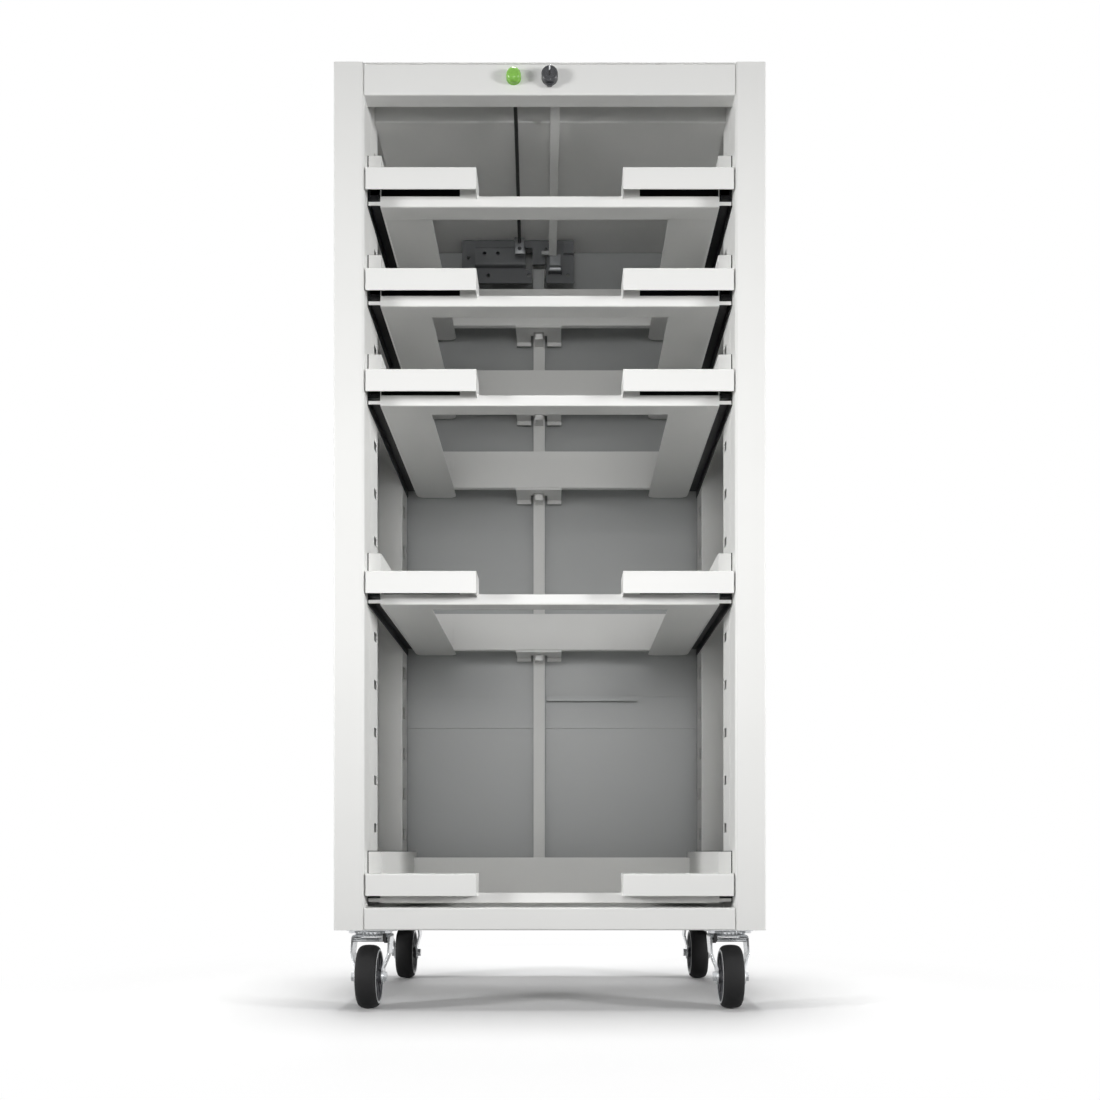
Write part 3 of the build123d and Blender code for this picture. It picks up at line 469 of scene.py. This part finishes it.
# %% A rectangle seen from the front, given a thickness and softened edges, in mm
def soft_block(bm, left, right, low, high, back, thickness, radius, segments=2):
    corners = [mm(x, back, z) for x, z in ((left, low), (right, low), (right, high), (left, high))]
    slab(bm, corners, Vector((0, thickness * MM, 0)))
    bmesh.ops.bevel(bm, geom=bm.edges[:], offset=radius * MM, affect="EDGES", segments=segments,
                    profile=0.5, material=-1)


# %% Clevis with its cross pin
PIN_PROFILE = ((0.001, -6.0), (2.6, -6.0), (2.9, -5.7), (2.9, -4.0), (0.001, -4.0))
bm = bmesh.new()
soft_block(bm, left=-56.9, right=-42.1, low=1113.5, high=1138.4, back=361.2, thickness=-5.2, radius=0.8)
lathe(bm, PIN_PROFILE, mm(-49.5, 361.2, 1121), BACK, steps=32, material=1)
finish_piece("push_rod_clevis", bm, [lock_zinc, knob_black], "button")

# %% Head of the lock bar
bm = bmesh.new()
soft_block(bm, left=-29.3, right=-11.7, low=1070, high=1104, back=385.2, thickness=29, radius=1.2,
           segments=3)
finish_piece("lock_bar_head", bm, [inner_paint], "lock_bar")

# %% Bracket of the link bar
bm = bmesh.new()
soft_block(bm, left=-16, right=-4, low=1119, high=1125, back=370, thickness=4, radius=0.8)
finish_piece("link_bar_bracket", bm, [inner_paint], "link_bar")

# %% [markdown]
# ### Face of the lock knob
#
# The knob's face has a raised rim, a low ring, and a bright plug with its key slot. The slot isn't cut
# into the plug: a thin near-black slab in front of it stands for the slot, and its colour is painted
# shade. A bright bar above the plug shows which way the lock is turned. They are fine rings on the flat
# end of the imported knob, so they are added in front of it and don't replace it.

# %% Face of the lock knob
KNOB = mm(0, 0, 1155)
RIM_PROFILE = ((7.6, -9.2), (8.0, -9.9), (9.2, -9.9), (9.9, -9.2), (9.9, -8.6), (7.6, -8.6))
LOW_RING_PROFILE = ((4.4, -9.1), (4.7, -9.6), (5.9, -9.6), (6.2, -9.1), (6.2, -8.6), (4.4, -8.6))
PLUG_PROFILE = ((0.001, -9.3), (3.6, -9.3), (3.9, -9.0), (3.9, -8.6), (0.001, -8.6))
MARK_WIDTH = 1.8
PLUG, SLOT_SHADE = 1, 2
bm = bmesh.new()
lathe(bm, RIM_PROFILE, KNOB, BACK, steps=72)
lathe(bm, LOW_RING_PROFILE, KNOB, BACK, steps=72)
lathe(bm, PLUG_PROFILE, KNOB, BACK, steps=48, material=PLUG)
# Painted shade: the key slot is a near-black slab just in front of the plug, not a cut.
for back, low, high, rise, material in ((-9.25, -2.9, 2.9, 0.3, SLOT_SHADE), (-8.7, 4.6, 9.4, 1.35, PLUG)):
    left, right = -MARK_WIDTH / 2, MARK_WIDTH / 2
    corners = [KNOB + Vector((x, back, z)) * MM
               for x, z in ((left, low), (right, low), (right, high), (left, high))]
    slab(bm, corners, Vector((0, -rise * MM, 0)), material)
finish_piece("lock_knob_face", bm, [knob_black, zinc, keyway_painted_shade], "lock_knob")

# %% [markdown]
# ### Caster bearings
#
# A caster swivels on balls between two pressed plates. From outside, the bearing shows as thin layers
# with a row of bright balls in the gap. The upper race stays with the cabinet, and the lower race and
# the balls turn with the fork. The real balls go round at half that turn, which nobody can see. They
# are low spheres of 12 by 8 faces, because only a sliver of each shows.

# %% Caster races and balls
UPPER_RACE_PROFILE = ((19.0, 95.2), (24.5, 95.2), (25.3, 96.0), (24.5, 96.8), (19.0, 96.8))
LOWER_RACE_PROFILE = ((18.0, 86.9), (23.6, 86.9), (24.4, 87.5), (23.6, 88.1), (18.0, 88.1))
BALLS = 22
BALL_RADIUS = 1.25
BALL_PLACE = Vector((21.8, 0, 93.05)) * MM    # from the kingpin outwards, and above the floor
for row, back in KINGPINS.items():
    for side, sign in SIDES.items():
        centre = mm(sign * CASTER_ACROSS, back, 0)
        bm = bmesh.new()
        lathe(bm, UPPER_RACE_PROFILE, centre, UP, steps=64)
        finish_piece(f"caster_race_{row}_{side}", bm, [zinc], "cabinet")

        bm = bmesh.new()
        for ball in range(BALLS):
            turn = Matrix.Rotation(ball * math.tau / BALLS, 3, "Z")
            place_ball = Matrix.Translation(centre + turn @ BALL_PLACE)
            bmesh.ops.create_uvsphere(bm, u_segments=12, v_segments=8, radius=BALL_RADIUS * MM,
                                      matrix=place_ball)
        lathe(bm, LOWER_RACE_PROFILE, centre, UP, steps=64)
        finish_piece(f"caster_balls_{row}_{side}", bm, [zinc], f"caster_{row}_{side}")

# %% [markdown]
# ## Camera
#
# The photograph looks straight at the front from low down, and its uprights don't lean together. A
# camera that is tilted up would make them lean. So it stays level, about 200 mm above the floor, and
# the lens is shifted up, as on a view camera. Its place, lens and shift are those of the
# photograph's one-point perspective.

# %% Camera
camera_data = bpy.data.cameras.new("camera")
camera = bpy.data.objects.new("camera", camera_data)
scene.collection.objects.link(camera)
camera.location = mm(14, -1500, 197)
camera.rotation_euler = (math.radians(90), 0, 0)
camera_data.sensor_width = 36
camera_data.lens = 39.67
camera_data.shift_x = -0.01
camera_data.shift_y = 0.2745
scene.camera = camera
print(f"camera: {camera_data.lens} mm lens, {camera.location.z:.3f} m above the floor")

# %% [markdown]
# ## Surroundings
#
# A product shot stands on white paper. A white world alone would also pour light into the open front.
# So the rays that the camera sends, and those that mirror or pass through, meet white, while the rays
# that carry light meet a dim grey. The floor does the same, and also changes with distance: near the
# cabinet it is matt paint that catches the shadow, further off it turns into plain white.


# %% Rays that should meet white: camera, mirror and see-through rays
def white_rays(tree):
    path = add_node(tree, "ShaderNodeLightPath").outputs
    total = path["Is Camera Ray"]
    for kind in ("Is Glossy Ray", "Is Transmission Ray"):
        larger = add_node(tree, "ShaderNodeMath", {0: total, 1: path[kind]}, operation="MAXIMUM")
        total = larger.outputs["Value"]
    return total


# %% World
AMBIENT = 0.05
PLAIN_WHITE = 1.0
world = bpy.data.worlds.new("studio")
scene.world = world
world.use_nodes = True
tree = world.node_tree
strength = add_node(tree, "ShaderNodeMix", {"Factor": white_rays(tree), "A": AMBIENT, "B": PLAIN_WHITE},
                    data_type="FLOAT")
background = tree.nodes["Background"]
background.inputs["Color"].default_value = (1.0, 1.0, 1.0, 1.0)
tree.links.new(strength.outputs["Result"], background.inputs["Strength"])
print(f"world: {AMBIENT} to light, {PLAIN_WHITE} to the eye")

# %% Floor: one large grid square
FLOOR_REACH = 12
floor_mesh = bpy.data.meshes.new("floor")
bm = bmesh.new()
bmesh.ops.create_grid(bm, x_segments=1, y_segments=1, size=FLOOR_REACH)
bm.to_mesh(floor_mesh)
bm.free()
floor = bpy.data.objects.new("floor", floor_mesh)
scene.collection.objects.link(floor)
print(f"floor: {2 * FLOOR_REACH} m wide")

# %% Floor as the eye meets it
# Matt white within SHADOW_CORE of its middle, plain white beyond SHADOW_EDGE, both in metres.
SHADOW_CORE = 0.30
SHADOW_EDGE = 0.85
floor_paint, tree, shader, place = new_material("white studio floor", 0.9)
shader.inputs["Base Color"].default_value = srgb("#F2F2F2")
distance = add_node(tree, "ShaderNodeVectorMath", {0: place}, operation="LENGTH")
fade = add_node(tree, "ShaderNodeMapRange",
                {"Value": distance.outputs["Value"], "From Min": SHADOW_CORE, "From Max": SHADOW_EDGE},
                interpolation_type="SMOOTHSTEP")
plain = add_node(tree, "ShaderNodeEmission", {"Strength": PLAIN_WHITE})
seen = add_node(tree, "ShaderNodeMixShader", {"Fac": fade.outputs["Result"], 1: shader.outputs["BSDF"],
                                              2: plain.outputs["Emission"]})
print(f"floor: shadow fades from {SHADOW_CORE} to {SHADOW_EDGE} m")

# %% Floor as light meets it: mid grey, so that little light comes up from it
dim = add_node(tree, "ShaderNodeBsdfDiffuse", {"Color": srgb("#8C8C8C")})
either = add_node(tree, "ShaderNodeMixShader", {"Fac": white_rays(tree), 1: dim.outputs["BSDF"],
                                                2: seen.outputs["Shader"]})
tree.links.new(either.outputs["Shader"], tree.nodes["Material Output"].inputs["Surface"])
floor_mesh.materials.append(floor_paint)


# %% [markdown]
# ## Lights
#
# In the photograph the columns are brightest at half their height, and the back is darker at the top
# than in the bays below. One large light would make all of it even. So the light comes from three
# boxes a little above half the cabinet's height: a weak one in front, and a stronger pair from the
# left and right, whose beams cross in the opening. The beams are narrowed, so they fade towards head
# and foot. One far overhead gives the shadow on the floor, and one behind lights the back for the
# other views. The view transform is Standard, which shows a colour about as it is written.

# %% Soft lights: place, aim, width and height in metres, power in watts, spread of the beam in degrees
FULL_SPREAD = 180
SOFTBOXES = (
    ("front softbox", mm(0, -2000, 760), mm(0, 0, 660), 0.6, 0.6, 2.3, 82),
    ("crossing softbox", mm(-2400, -1170, 830), mm(0, 0, 640), 0.5, 0.6, 7.1, 64),
    ("crossing softbox", mm(2400, -1170, 830), mm(0, 0, 640), 0.5, 0.6, 7.1, 64),
    ("overhead softbox", mm(0, 330, 6000), mm(0, 200, 0), 1.3, 1.3, 220, FULL_SPREAD),
    ("back softbox", mm(0, 3200, 1500), mm(0, 0, 600), 2.0, 1.6, 45, FULL_SPREAD),
)
for name, location, target, width, height, power, spread in SOFTBOXES:
    data = bpy.data.lights.new(name, "AREA")
    data.shape = "RECTANGLE"
    data.size = width
    data.size_y = height
    data.energy = power
    data.spread = math.radians(spread)
    light = bpy.data.objects.new(name, data)
    light.location = location
    light.rotation_euler = (target - location).to_track_quat("-Z", "Y").to_euler()
    light.visible_camera = False
    scene.collection.objects.link(light)
    print(f"light: {name}, {power} W")

# %% Colours shown as they are written
scene.view_settings.view_transform = "Standard"
print("view transform:", scene.view_settings.view_transform)
